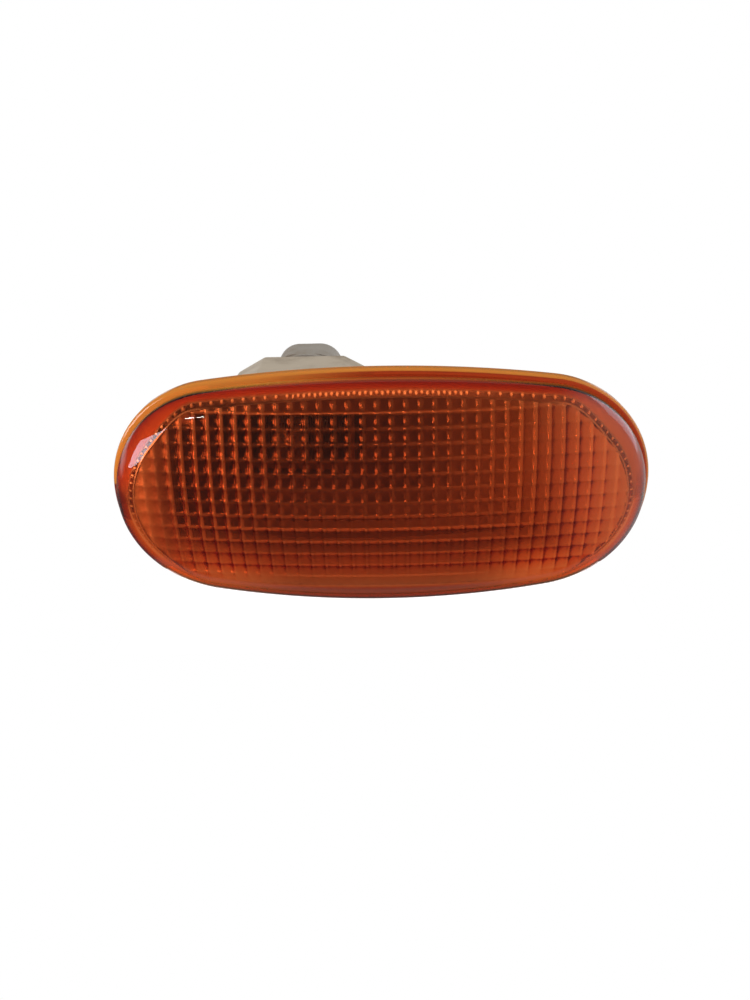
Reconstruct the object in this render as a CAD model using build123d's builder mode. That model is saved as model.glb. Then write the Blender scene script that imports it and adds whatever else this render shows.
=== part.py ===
"""Side repeater lamp of a car: amber lens, moulded housing and twist-in bulb holder.

Frame, in millimetres: the plane y = 0 is the seat of the lens rim on the car's panel, with the origin
at the middle of the lens. +X runs along the lamp, +Y goes back into the car and +Z is up, so the lens
faces -Y. A depth is a distance behind the seat, along +Y.
"""

import math
import os

from build123d import *

# Lens outline: tangent arcs for the long sides, the ends and the corners
lens_length = 96.0
lens_height = 44.2
side_arc_radius = 245.0
end_arc_radius = 58.0
corner_arc_radius = 20.3

# Lens section: a barrel-shaped crown with a rounded edge, standing on the flange of the rim
crown_height = 12.2
crown_radius_long = 230.0
crown_radius_cross = 46.0
lens_edge_radius = 5.6
rim_width = 1.2
rim_thickness = 1.9
rim_edge_radius = 0.7
lens_wall = 1.6
weld_ledge_width = 0.7
weld_ledge_height = 1.2

# Pillow optic on the inner face of the lens
column_pitch = 2.375
row_pitch = 2.45
pillow_height = 0.5
valley_half_width = 0.35
optic_margin = 4.6
optic_relief = 0.4

# Housing tray: skirt inside the lens rim, land behind the lens and the pan that the land surrounds
lens_clearance = 0.1
housing_wall = 1.8
skirt_depth = 5.5
land_step = 1.0
land_width = 8.5
land_width_left = 11.0
land_width_right = 12.0
land_fall = 0.16
land_fall_start = 20.0
pan_corner_radius = 8.0
pan_depth = 8.5
pan_left_depth = 1.5
pan_right_depth = 3.5
pan_slope_length = 36.0
shelf_depth = 10.5
rib_thickness = 1.2
rib_pitch = 12.0
rib_setback = 0.8

# Bulb tower: a box with bevelled corners, closed by the plate that the holder twists into
bulb_x = -15.8
tower_wall = 2.6
chamber_width = 24.2
chamber_height = 13.2
tower_bevel_width = 6.3
tower_bevel_height = 3.4
tower_corner_radius = 1.6
tower_depth = 32.0
plate_thickness = 2.0

# Fixings: a rigid hook at the left end and a folded spring tongue at the right end
hook_width = 6.4
hook_z = -2.6
hook_reach = 2.4
panel_room = 2.6
tongue_width = 10.0
tongue_thickness = 1.4
tongue_depth = 14.0
tongue_fold_radius = 2.1
tongue_play = 0.5
catch_reach = 2.4
catch_length = 4.5

# Bulb holder
neck_radius = 6.2
neck_clearance = 0.2
neck_front_depth = 23.0
lug_reach = 8.4
lug_width = 4.2
lug_thickness = 2.0
lug_clearance = 0.2
notch_clearance = 0.3
release_turn = 30.0
flange_radius = 9.2
flange_thickness = 1.8
shroud_width = 14.6
shroud_height = 18.0
shroud_corner_radius = 5.0
shroud_wall = 1.6
shroud_length = 9.9
socket_depth = 8.7
grip_rib_radius = 0.6
grip_rib_pitch = 2.6
grip_rib_rows = 4
latch_width = 5.0
latch_height = 1.0
latch_length = 3.0

# Seal between the holder's flange and the tower's plate
seal_thickness = 1.2
seal_width = 2.2
seal_gap = 0.1

# Contact strips
strip_width = 4.8
strip_thickness = 0.5
strip_clearance = 0.1
blade_offset = 3.7
blade_setback = 1.5
spring_bend_length = 1.8
spring_flare = 0.75

# Wedge-base bulb
bulb_radius = 5.0
bulb_length = 20.0
glass_wall = 0.7
bulb_to_neck = 0.6
pinch_width = 9.2
pinch_thickness = 2.4
pinch_corner_radius = 0.6
pinch_length = 8.4
pinch_clearance = 0.2
lead_radius = 0.2
lead_clearance = 0.05
lead_spacing = 4.0
lead_bend_radius = 0.45
lead_fold_length = 5.0
filament_radius = 0.25
filament_depth = 10.6

# How far cutting tools run past the faces that they cut
overrun = 2.0

# Derived places
inner_inset = rim_width + lens_wall
skirt_inset = inner_inset + lens_clearance
tray_inset = skirt_inset + housing_wall
skirt_end = lens_length / 2 - skirt_inset
land_back = housing_wall - land_step
ledge_front = -land_step - weld_ledge_height
pan_top = lens_height / 2 - land_width
pan_left = land_width_left - lens_length / 2
pan_right = lens_length / 2 - land_width_right
bulb_z = pan_top - chamber_height / 2
tower_width = chamber_width + 2 * tower_wall
tower_height = chamber_height + 2 * tower_wall
plate_front = tower_depth - plate_thickness
bore_radius = neck_radius + neck_clearance
notch_length = 2 * (lug_reach + notch_clearance)
notch_width = lug_width + 2 * notch_clearance
seal_front = tower_depth + seal_gap
flange_front = seal_front + seal_thickness
flange_back = flange_front + flange_thickness
shroud_back = flange_back + shroud_length
socket_floor = shroud_back - socket_depth
pinch_front = neck_front_depth - bulb_to_neck
pinch_back = pinch_front + pinch_length
bulb_tip = pinch_front - bulb_length
lead_face = pinch_thickness / 2 + 2 * lead_radius
slot_floor = pinch_back + 4 * lead_radius + pinch_clearance
barrel_axis = Axis((0, crown_radius_cross - crown_height, 0), (1, 0, 0))
bulb_axis = Axis((bulb_x, 0, bulb_z), (0, 1, 0))

# Centres of the outline's arcs: a corner arc touches a side arc and an end arc from the inside
side_centre_z = lens_height / 2 - side_arc_radius
end_centre_x = lens_length / 2 - end_arc_radius
side_reach = side_arc_radius - corner_arc_radius
end_reach = end_arc_radius - corner_arc_radius
centre_span = math.hypot(end_centre_x, side_centre_z)
span_x = end_centre_x / centre_span
span_z = -side_centre_z / centre_span
along_span = (centre_span**2 + side_reach**2 - end_reach**2) / (2 * centre_span)
off_span = math.sqrt(side_reach**2 - along_span**2)
corner_x = along_span * span_x + off_span * span_z
corner_z = side_centre_z + along_span * span_z - off_span * span_x
side_half_angle = math.degrees(math.atan2(corner_x, corner_z - side_centre_z))
end_half_angle = math.degrees(math.atan2(corner_z, corner_x - end_centre_x))


def at_depth(depth, x=0.0, z=0.0):
    """Sketch plane at a depth behind the seat. It faces forward, so an extrusion grows to the lens."""
    return Plane(origin=(x, depth, z), x_dir=(1, 0, 0), z_dir=(0, -1, 0))


def lamp_oval(inset):
    """Edges of the lamp's oval outline, moved in from the lens rim by an inset."""
    corner_turn = 90 - side_half_angle - end_half_angle
    with BuildLine() as rim:
        for sign, turn in ((1, 0), (-1, 180)):
            side_start = 90 + turn - side_half_angle
            side_end = 90 + turn + side_half_angle
            end_start = turn - end_half_angle
            end_end = turn + end_half_angle
            CenterArc((0, sign * side_centre_z), side_arc_radius - inset, side_start, 2 * side_half_angle)
            CenterArc((sign * end_centre_x, 0), end_arc_radius - inset, end_start, 2 * end_half_angle)
            corner_radius = corner_arc_radius - inset
            CenterArc((sign * corner_x, sign * corner_z), corner_radius, end_end, corner_turn)
            CenterArc((-sign * corner_x, sign * corner_z), corner_radius, side_end, corner_turn)
    return rim.edges()


def oval_prism(inset, back, front):
    """Upright prism on the lamp's oval, between two depths."""
    with BuildPart() as prism:
        with BuildSketch(at_depth(back)):
            make_face(lamp_oval(inset))
        extrude(amount=back - front)
    return prism.part


def crown_section(inset):
    """Edges of the section that sweeps round the barrel axis to make the crown."""
    half = lens_length / 2 + overrun
    centre_y = crown_radius_long - crown_height
    radius = crown_radius_long - inset
    end_y = centre_y - math.sqrt(radius**2 - half**2)
    axis_y = barrel_axis.position.Y
    with BuildLine() as section:
        ThreePointArc((-half, end_y), (0, centre_y - radius), (half, end_y))
        Polyline((half, end_y), (half, axis_y), (-half, axis_y), (-half, end_y))
    return section.edges()


def crowned_block(inset):
    """Domed form of the lens, moved in by an inset. It runs on behind the seat by its edge radius."""
    edge_radius = lens_edge_radius - inset
    with BuildPart() as block:
        with BuildSketch(at_depth(edge_radius)):
            make_face(lamp_oval(rim_width + inset))
        extrude(amount=edge_radius + crown_height)
        with BuildSketch(Plane.XY):
            make_face(crown_section(inset))
        revolve(axis=barrel_axis, mode=Mode.INTERSECT)
        fillet(block.faces().sort_by(Axis.Y)[0].edges(), radius=edge_radius)
    return block.part


def valley_point(x, z):
    """Point on the sheet of the optic's valleys: two parabolas added, so that every pillow lies flat."""
    fall_long = x**2 / (2 * (crown_radius_long - lens_wall))
    fall_cross = z**2 / (2 * (crown_radius_cross - lens_wall))
    return Vector(x, lens_wall + optic_relief - crown_height + fall_long + fall_cross, z)


def pillow_faces(left, right, bottom, top):
    """Flat crest of one pillow and the four slopes that lead down to its valleys."""
    rise = Vector(0, pillow_height, 0)
    foot = [valley_point(x, z) for x, z in ((left, bottom), (right, bottom), (right, top), (left, top))]
    near, far = left + valley_half_width, right - valley_half_width
    low, high = bottom + valley_half_width, top - valley_half_width
    crest = [valley_point(x, z) + rise for x, z in ((near, low), (far, low), (far, high), (near, high))]
    faces = [Face(Wire.make_polygon(crest))]
    for here in range(4):
        after = (here + 1) % 4
        faces.append(Face(Wire.make_polygon([foot[here], foot[after], crest[after], crest[here]])))
    return faces


def pillow_cutter():
    """Solid whose front is the whole quilt of pillows. It cuts the optic out of a plain block."""
    column_count = math.ceil((lens_length / 2 - optic_margin) / column_pitch)
    row_count = math.ceil((lens_height / 2 - optic_margin) / row_pitch + 0.5)
    columns = [k * column_pitch for k in range(-column_count, column_count + 1)]
    rows = [(k + 0.5) * row_pitch for k in range(-row_count, row_count)]
    faces = []
    for left, right in zip(columns, columns[1:]):
        for bottom, top in zip(rows, rows[1:]):
            faces += pillow_faces(left, right, bottom, top)
    back_corners = [Vector(x, overrun, z) for x in (columns[0], columns[-1]) for z in (rows[0], rows[-1])]
    low_left, high_left, low_right, high_right = back_corners
    faces.append(Face(Wire.make_polygon([low_left, high_left, high_right, low_right])))
    for z, start, end in ((rows[0], low_left, low_right), (rows[-1], high_left, high_right)):
        faces.append(Face(Wire.make_polygon([valley_point(x, z) for x in columns] + [end, start])))
    for x, start, end in ((columns[0], low_left, high_left), (columns[-1], low_right, high_right)):
        faces.append(Face(Wire.make_polygon([valley_point(x, z) for z in rows] + [end, start])))
    return Solid(Shell(faces))


# Lens: domed shell on a flange, with the quilted optic and a ledge that is welded to the housing's skirt
lens_outside = crowned_block(0)
lens_middle = crowned_block(lens_wall / 2)
lens_inside = crowned_block(lens_wall)
optic_quilt = pillow_cutter()

with BuildPart() as optic:
    add(oval_prism(optic_margin, 0, -crown_height))
    add(lens_middle, mode=Mode.INTERSECT)
    add(optic_quilt, mode=Mode.SUBTRACT)

with BuildPart() as weld_ledge:
    add(oval_prism(inner_inset - lens_wall / 2, -land_step, ledge_front))
    add(oval_prism(inner_inset + weld_ledge_width, -land_step, ledge_front), mode=Mode.SUBTRACT)

with BuildPart() as rim_flange:
    add(oval_prism(0, 0, -rim_thickness))
    fillet(rim_flange.faces().sort_by(Axis.Y)[0].edges(), radius=rim_edge_radius)

with BuildPart() as lens:
    add(lens_outside)
    split(bisect_by=Plane.XZ, keep=Keep.TOP)
    add(rim_flange.part)
    add(lens_inside, mode=Mode.SUBTRACT)
    add(optic.part)
    add(weld_ledge.part)


def pan_form(growth, mouth):
    """Pan of the tray, grown by a wall thickness, from its mouth to its floor.

    The floor is deepest behind the bulb tower and climbs towards the lens at both ends.
    """
    deep_left = bulb_x - chamber_width / 2 - growth
    deep_right = pan_right - pan_slope_length + growth
    left = pan_left - growth
    right = pan_right + growth
    with BuildPart() as pan:
        with BuildSketch(at_depth(pan_depth + growth, x=(left + right) / 2)):
            RectangleRounded(right - left, 2 * (pan_top + growth), pan_corner_radius + growth)
        extrude(amount=pan_depth + growth - mouth)
        with BuildSketch(Plane.XY):
            with BuildLine():
                Polyline(
                    (left, mouth),
                    (left, pan_left_depth + growth),
                    (deep_left, pan_depth + growth),
                    (deep_right, pan_depth + growth),
                    (right, pan_right_depth + growth),
                    (right, mouth),
                    close=True,
                )
            make_face()
        extrude(amount=pan_top + growth, both=True, mode=Mode.INTERSECT)
    return pan.part


def land_line(lift):
    """Corners of the land's section: level behind most of the lens, falling back at the right end."""
    start = (land_fall_start, lift - land_step)
    end_x = lens_length / 2
    end = (end_x, lift - land_step + land_fall * (end_x - land_fall_start))
    return [(-lens_length / 2, lift - land_step), start, end]


def tower_prism(inset, back, front):
    """Bevelled box of the bulb tower, moved in by an inset, between two depths."""
    half_width = tower_width / 2
    half_height = tower_height / 2
    shoulder_x = half_width - tower_bevel_width
    shoulder_z = half_height - tower_bevel_height
    upper_right = [(half_width, shoulder_z), (shoulder_x, half_height)]
    upper_left = [(-x, z) for x, z in reversed(upper_right)]
    lower_half = [(-x, -z) for x, z in upper_right + upper_left]
    with BuildPart() as prism:
        with BuildSketch(at_depth(back, bulb_x, bulb_z)) as section:
            Polygon(*upper_right, *upper_left, *lower_half, align=None)
            fillet(section.vertices(), radius=tower_corner_radius)
            if inset > 0:
                offset(amount=-inset)
        extrude(amount=back - front)
    return prism.part


def end_prism(profile, width, middle_z=0.0):
    """Solid of a flat outline in x and depth, as wide as given about a height."""
    with BuildPart() as prism:
        with BuildSketch(Plane.XY.offset(middle_z)):
            make_face(profile)
        extrude(amount=width / 2, both=True)
    return prism.part


def closed_line(*points):
    """Edges of a closed run of straight lines."""
    with BuildLine() as line:
        Polyline(*points, close=True)
    return line.edges()


# Tray of the housing: skirt, land, ribs and the deeper shelf round the tower
skirt_field = oval_prism(skirt_inset, skirt_depth, -land_step)
tray_field = oval_prism(tray_inset, skirt_depth, -land_step - overrun)
shelf_field = oval_prism(skirt_inset, shelf_depth, land_back)
shelf_hollow = oval_prism(tray_inset, shelf_depth, land_back)

with BuildPart() as land:
    with BuildSketch(Plane.XY):
        make_face(closed_line(*land_line(0), *reversed(land_line(housing_wall))))
    extrude(amount=lens_height / 2, both=True)
    add(skirt_field, mode=Mode.INTERSECT)

with BuildPart() as land_clearance:
    land_far_left, fall_start, fall_end = land_line(0)
    with BuildSketch(Plane.XY):
        make_face(
            closed_line(
                fall_start,
                fall_end,
                (fall_end[0], fall_start[1] - overrun),
                (fall_start[0], fall_start[1] - overrun),
            )
        )
    extrude(amount=lens_height / 2, both=True)
    add(tray_field, mode=Mode.INTERSECT)

with BuildPart() as ribs:
    with BuildSketch(at_depth(skirt_depth - rib_setback)):
        with GridLocations(rib_pitch, 0, int(lens_length / rib_pitch), 1):
            Rectangle(rib_thickness, lens_height)
    extrude(amount=skirt_depth - rib_setback - land_back)
    add(skirt_field, mode=Mode.INTERSECT)

with BuildPart() as shelf:
    add(shelf_field)
    add(shelf_hollow, mode=Mode.SUBTRACT)
    with BuildSketch(at_depth(shelf_depth, x=bulb_x)):
        Rectangle(tower_width, lens_height)
    extrude(amount=shelf_depth, mode=Mode.INTERSECT)

# Fixings at the two ends of the housing
hook_back = skirt_depth
hook_profile = closed_line(
    (housing_wall - skirt_end, panel_room),
    (-skirt_end - hook_reach, panel_room),
    (-skirt_end - hook_reach, (panel_room + hook_back) / 2),
    (-skirt_end, hook_back),
    (housing_wall - skirt_end, hook_back),
)
hook = end_prism(hook_profile, hook_width, hook_z)

tongue_outer_x = skirt_end - tongue_thickness / 2
tongue_root_x = tongue_outer_x - 2 * tongue_fold_radius
tongue_root_y = land_line(housing_wall / 2)[1][1] + land_fall * (tongue_root_x - land_fall_start)

with BuildPart() as tongue:
    with BuildSketch(Plane.XY):
        with BuildLine():
            FilletPolyline(
                (tongue_root_x, tongue_root_y),
                (tongue_root_x, tongue_depth - tongue_thickness / 2),
                (tongue_outer_x, tongue_depth - tongue_thickness / 2),
                (tongue_outer_x, panel_room),
                radius=tongue_fold_radius - tongue_thickness / 4,
            )
        trace(line_width=tongue_thickness)
    extrude(amount=tongue_width / 2, both=True)

catch_profile = closed_line(
    (tongue_outer_x, panel_room),
    (skirt_end + catch_reach, panel_room),
    (skirt_end + catch_reach, panel_room + tongue_thickness / 2),
    (skirt_end, panel_room + catch_length),
    (tongue_outer_x, panel_room + catch_length),
)
catch = end_prism(catch_profile, tongue_width)
window_profile = closed_line(
    (skirt_end - housing_wall - tongue_play, panel_room - tongue_play),
    (skirt_end + overrun, panel_room - tongue_play),
    (skirt_end + overrun, skirt_depth + overrun),
    (skirt_end - housing_wall - tongue_play, skirt_depth + overrun),
)
tongue_window = end_prism(window_profile, tongue_width + 2 * tongue_play)

pan_outside = pan_form(housing_wall, -land_step)
pan_inside = pan_form(0, -land_step - overrun)
tower_outside = tower_prism(0, tower_depth, land_back)
chamber = tower_prism(tower_wall, plate_front, pan_depth - overrun)

with BuildPart() as housing:
    add(skirt_field)
    add(tray_field, mode=Mode.SUBTRACT)
    add(land.part)
    add(ribs.part)
    add(shelf.part)
    add(tongue_window, mode=Mode.SUBTRACT)
    add(pan_outside)
    add(tower_outside)
    add(hook)
    add(tongue.part)
    add(catch)
    add(pan_inside, mode=Mode.SUBTRACT)
    add(chamber, mode=Mode.SUBTRACT)
    add(land_clearance.part, mode=Mode.SUBTRACT)
    with BuildSketch(at_depth(tower_depth, bulb_x, bulb_z)):
        Circle(bore_radius)
        Rectangle(notch_length, notch_width, rotation=-release_turn)
    extrude(amount=plate_thickness + overrun, mode=Mode.SUBTRACT)

# Bulb holder: neck with two lugs, flange and connector shroud, slotted for the bulb and the contacts
with BuildPart() as bulb_holder:
    with BuildSketch(at_depth(flange_front, bulb_x, bulb_z)):
        Circle(neck_radius)
    extrude(amount=flange_front - neck_front_depth)
    with BuildSketch(at_depth(plate_front - lug_clearance, bulb_x, bulb_z)):
        Circle(lug_reach)
        Rectangle(2 * lug_reach, lug_width, mode=Mode.INTERSECT)
    extrude(amount=lug_thickness)
    with BuildSketch(at_depth(flange_back, bulb_x, bulb_z)):
        Circle(flange_radius)
    extrude(amount=flange_thickness)
    with BuildSketch(at_depth(shroud_back, bulb_x, bulb_z)):
        RectangleRounded(shroud_width, shroud_height, shroud_corner_radius)
        with GridLocations(shroud_width, grip_rib_pitch, 2, grip_rib_rows):
            Circle(grip_rib_radius)
    extrude(amount=shroud_length)
    with BuildSketch(at_depth(shroud_back, bulb_x, bulb_z)):
        RectangleRounded(
            shroud_width - 2 * shroud_wall,
            shroud_height - 2 * shroud_wall,
            shroud_corner_radius - shroud_wall,
        )
    extrude(amount=socket_depth, mode=Mode.SUBTRACT)
    with BuildSketch(Plane.YZ.offset(bulb_x)):
        make_face(
            closed_line(
                (shroud_back - latch_length, bulb_z - shroud_height / 2),
                (shroud_back, bulb_z - shroud_height / 2),
                (shroud_back - latch_length, bulb_z - shroud_height / 2 - latch_height),
            )
        )
    extrude(amount=latch_width / 2, both=True)
    with BuildSketch(at_depth(slot_floor, bulb_x, bulb_z)):
        Rectangle(pinch_width + 2 * pinch_clearance, 2 * (lead_face + pinch_clearance))
        Rectangle(strip_width + 2 * strip_clearance, 2 * (blade_offset + strip_thickness))
    extrude(amount=slot_floor - neck_front_depth, mode=Mode.SUBTRACT)
    with BuildSketch(at_depth(socket_floor, bulb_x, bulb_z)):
        with GridLocations(0, 2 * blade_offset, 1, 2):
            Rectangle(strip_width, strip_thickness)
    extrude(amount=socket_floor - slot_floor, mode=Mode.SUBTRACT)

with BuildPart() as holder_seal:
    with BuildSketch(at_depth(flange_front, bulb_x, bulb_z)):
        Circle(bore_radius + seal_width)
        Circle(bore_radius, mode=Mode.SUBTRACT)
    extrude(amount=seal_thickness)


def contact_strip(side):
    """Bent brass strip above (side 1) or below (side -1) the bulb: blade, step and flared spring."""
    spring_offset = lead_face + strip_thickness / 2
    bend_end = slot_floor - strip_thickness
    with BuildPart() as strip:
        with BuildSketch(Plane.YZ.offset(bulb_x)):
            with BuildLine():
                Polyline(
                    (shroud_back - blade_setback, bulb_z + side * blade_offset),
                    (bend_end, bulb_z + side * blade_offset),
                    (bend_end - spring_bend_length, bulb_z + side * spring_offset),
                    (neck_front_depth + spring_bend_length, bulb_z + side * spring_offset),
                    (neck_front_depth, bulb_z + side * (spring_offset + spring_flare)),
                )
            trace(line_width=strip_thickness)
        extrude(amount=strip_width / 2, both=True)
    return strip.part


with BuildPart() as contact_upper:
    add(contact_strip(1))

with BuildPart() as contact_lower:
    add(contact_strip(-1))


def bulb_envelope(inset):
    """Round bulb form, moved in by an inset: domed tip, straight sides and a shoulder at the pinch."""
    radius = bulb_radius - inset
    turn = radius / 2
    tip = bulb_tip + inset
    shoulder = pinch_front - inset
    with BuildPart() as envelope:
        with BuildSketch(Plane.XY.offset(bulb_z)):
            with BuildLine():
                CenterArc((bulb_x, tip + radius), radius, -90, 90)
                Line((bulb_x + radius, tip + radius), (bulb_x + radius, shoulder - turn))
                CenterArc((bulb_x + radius - turn, shoulder - turn), turn, 0, 90)
                Polyline((bulb_x + radius - turn, shoulder), (bulb_x, shoulder), (bulb_x, tip))
            make_face()
        revolve(axis=bulb_axis)
    return envelope.part


bulb_outside = bulb_envelope(0)
bulb_inside = bulb_envelope(glass_wall)

with BuildPart() as bulb_glass:
    add(bulb_outside)
    with BuildSketch(at_depth(pinch_back, bulb_x, bulb_z)):
        RectangleRounded(pinch_width, pinch_thickness, pinch_corner_radius)
    extrude(amount=pinch_length + glass_wall)
    add(bulb_inside, mode=Mode.SUBTRACT)
    with BuildSketch(at_depth(pinch_back, bulb_x, bulb_z)):
        with GridLocations(lead_spacing, 0, 2, 1):
            Circle(lead_radius + lead_clearance)
    extrude(amount=pinch_length + bulb_radius, mode=Mode.SUBTRACT)

with BuildPart() as bulb_wires:
    for side in (1, -1):
        lead_plane = Plane.YZ.offset(bulb_x + side * lead_spacing / 2)
        fold_depth = pinch_back + 2 * lead_radius
        with BuildLine(lead_plane) as lead:
            FilletPolyline(
                (filament_depth, bulb_z),
                (fold_depth, bulb_z),
                (fold_depth, bulb_z + side * (lead_face - lead_radius)),
                (fold_depth - lead_fold_length, bulb_z + side * (lead_face - lead_radius)),
                radius=lead_bend_radius,
            )
        with BuildSketch(at_depth(filament_depth, bulb_x + side * lead_spacing / 2, bulb_z)):
            Circle(lead_radius)
        sweep(path=lead.line)

with BuildPart() as bulb_filament:
    with BuildSketch(Plane.YZ.offset(bulb_x)):
        with Locations((filament_depth + filament_radius, bulb_z)):
            Circle(filament_radius)
    extrude(amount=lead_spacing / 2 - lead_radius, both=True)

os.makedirs("parts", exist_ok=True)

lens.part.label = "lens"
housing.part.label = "housing"
bulb_holder.part.label = "bulb_holder"
holder_seal.part.label = "holder_seal"
contact_upper.part.label = "contact_upper"
contact_lower.part.label = "contact_lower"
bulb_glass.part.label = "bulb_glass"
bulb_wires.part.label = "bulb_wires"
bulb_filament.part.label = "bulb_filament"

export_step(lens.part, "parts/lens.step")
export_step(housing.part, "parts/housing.step")
export_step(bulb_holder.part, "parts/bulb_holder.step")
export_step(holder_seal.part, "parts/holder_seal.step")
export_step(contact_upper.part, "parts/contact_upper.step")
export_step(contact_lower.part, "parts/contact_lower.step")
export_step(bulb_glass.part, "parts/bulb_glass.step")
export_step(bulb_wires.part, "parts/bulb_wires.step")
export_step(bulb_filament.part, "parts/bulb_filament.step")
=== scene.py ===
"""Side repeater lamp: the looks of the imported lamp, laid out as an add-on and run as a script.

The lens is worked out here as a closed shell with its pillow optic. The other pieces keep their solids
and get their finishes. Sizes are in metres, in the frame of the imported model: the lens faces -Y, +Z is up
and y = 0 is the seat of the lens rim on the car's panel.
"""

import math
from functools import reduce

import bmesh
import bpy
import numpy as np
from bpy.props import FloatProperty, FloatVectorProperty, IntProperty, PointerProperty
from mathutils import Matrix, Vector
from mathutils.geometry import delaunay_2d_cdt


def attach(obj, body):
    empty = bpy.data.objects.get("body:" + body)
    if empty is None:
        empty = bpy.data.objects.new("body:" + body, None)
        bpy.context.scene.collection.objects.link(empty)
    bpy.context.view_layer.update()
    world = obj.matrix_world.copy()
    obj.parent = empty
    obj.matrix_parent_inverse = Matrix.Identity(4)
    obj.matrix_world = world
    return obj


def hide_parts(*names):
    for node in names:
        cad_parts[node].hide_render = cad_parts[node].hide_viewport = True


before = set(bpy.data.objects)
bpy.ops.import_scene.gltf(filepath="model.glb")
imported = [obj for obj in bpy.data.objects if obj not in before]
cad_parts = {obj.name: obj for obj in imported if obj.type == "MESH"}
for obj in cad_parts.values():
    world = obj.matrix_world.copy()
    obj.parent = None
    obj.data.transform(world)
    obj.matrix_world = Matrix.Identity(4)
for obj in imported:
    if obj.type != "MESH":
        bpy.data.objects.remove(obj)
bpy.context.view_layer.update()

bl_info = {
    "name": "Side Repeater Lamp",
    "version": (1, 0, 0),
    "blender": (4, 5, 0),
    "location": "View3D > Sidebar > Lamp",
    "description": "Makes the lens and the finishes of a side repeater lamp",
    "category": "Object",
}

# How far the lens keeps inside the solid's box, points closer than this that become one, and small limits
TRIM = 2e-5
MERGE = 2e-7
THIN_EDGE = 1e-8
FILL_LIMIT = 1e-9
SLOPE_STEP = 1e-5
# Rings of the lens: round the flange's edge, up the wall, round the outer and the inner edge, over the crown
FLANGE_STEPS = 7
WALL_SHARES = (0.0, 0.5)
EDGE_STEPS = 18
INNER_EDGE_STEPS = 34
CROWN_RINGS = 12
CROWN_SPINE = 0.026
TOUCH_ROUNDS = 12
GRID_CLEARANCE = 6e-5
SHARP_ANGLE = math.radians(62)
# Start and end of a change over the lens: heights, distances from its middle, and how far the outline turns
PILLOWS_END_LOW = (0.0115, 0.0168)
PILLOWS_END_SIDE = (0.033, 0.043)
PILLOWS_LOST_SIDE = 0.5
END_TURN = (0.2, 0.75)
BEAD_TOP = (0.003, 0.010)
BEAD_LEAN = 0.7
# Film on the rounded edge, ring by ring from the wall, and where it lies. At the top it is painted shade
# under the rim
BOTTOM_FILM = np.concatenate([np.ones(5), np.linspace(0.7, 0.15, 13)])
SIDE_FILM = np.concatenate([np.ones(4), np.linspace(0.8, 0.0, 6), np.zeros(8)])
TOP_PAINTED_SHADE = np.concatenate([np.linspace(0.9, 0.2, 4), np.zeros(14)])
BOTTOM_ZONE = (0.012, 0.018)
SIDE_ZONE = (0.032, 0.042)
BELOW_MIDDLE = (-0.006, 0.0)
TOP_SHADE_ZONE = (0.004, 0.010)
FRONT_RINGS = 4
FRONT_SHARE = 0.6
# Painted highlights of the optic, a metallic mark along its valleys: start and end of each change, from the
# middle of the line or of the lamp
EDGE_WAVE = 0.2
EDGE_REACH = (0.00014, 0.00004)
COLUMN_REACH = (1.3, 0.7)
ROW_REACH = (1.25, 0.35)
DOT_WAVE = (-0.7, 0.8)
LOW_ROWS = (0.0015, -0.0035)
RIGHT_ROWS = (-0.004, 0.016)
MIDDLE_COLUMNS = (0.028, 0.018)
LEFT_COLUMNS = (-0.010, -0.027)
RIGHT_COLUMNS = (0.010, 0.028)
# Painted sheen: a metallic mark over the pillows towards the ends and the bottom
LEFT_SHEEN = (-0.034, -0.042)
RIGHT_SHEEN = (0.020, 0.038)
BOTTOM_SHEEN = (-0.003, -0.012)
OUTER_SHEEN = (0.012, 0.030)
LOW_RIGHT_SHEEN = (0.008, 0.030)
# Strengths of those painted highlights, from one end of a change to the other
COLUMN_BODY = 0.6
COLUMN_EDGE = 0.9
LOW_COLUMN_LEVELS = (1.0, 0.4)
SIDE_LEVELS = (0.24, 0.86)
DOT_LEVELS = (0.45, 1.0)
UPPER_ROW_LEVELS = (0.11, 0.24)
LOW_ROW_LEVELS = (0.0, 0.55)
SHEEN_LEVELS = (0.84, 1.0)
OUTER_LEVELS = (0.30, 0.80)
# Painted glints on the beads and a painted highlight on the step beside them
CLOSE_BEADS = 0.014
BEAD_DOT = (0.00034, 0.00012)
BEAD_ENDS = (-0.012, -0.004)
STEP_START = (0.0003, 0.0005)
STEP_END = (0.0014, 0.0008)
STEP_ZONE = (0.026, 0.034)
STEP_STRENGTH = 0.6
# Rim, weld and finish of the acrylic
# Painted shadow of the housing's hook on the rim's left end
HOOK_DROP = 0.001
HOOK_HALF = (0.0031, 0.0027)
HOOK_END = (-0.0445, -0.0455)
# The rim darkens towards the bottom
DARK_BOTTOM = (-0.015, -0.020)
DEEP_RIM = (-0.024, 0.002)
# Painted glow on the inner wall at the weld, paler towards the right end
GLOW_WALL = (0.0020, 0.0027)
GLOW_TO_BEADS = (0.0, -0.0005)
GLOW_UPPER = (-0.002, 0.005)
PALE_GLOW = (0.024, 0.040)
# The rim's tint lets through less light: the amber's own colour, and partly a painted glow on the flange band
FILM_START = (0.0, 0.2)
FILM_CLEAR = (1.0, 0.6)
FINE_ROUGHNESS = (0.01, 0.05)
SOFT_LEFT = (-0.030, -0.040)
SOFT_LEFT_LEVELS = (0.22, 0.45)
SOFT_GLOW_LEVELS = (0.22, 0.70)
MATT_START = (0.0, 0.25)
# Dirt on the mouldings: stops of its patches, share of clean colour where worn, and drift of the finish.
# Bloom on the rubber, stops of it and of the tarnish on metal, and how much rougher the metal gets
PATCH_STOPS = (0.27, 0.39, 0.50, 0.75)
WORN_SHARE = 0.72
PALE_SHARE = 1.06
PATCH_ROUGHNESS = (0.12, -0.08)
RUBBER_BLOOM = 2.2
BLOOM_STOPS = (0.4, 0.7)
TARNISH_STOPS = (0.35, 0.6)
DRAWN_ROUGHNESS = 0.2
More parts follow.
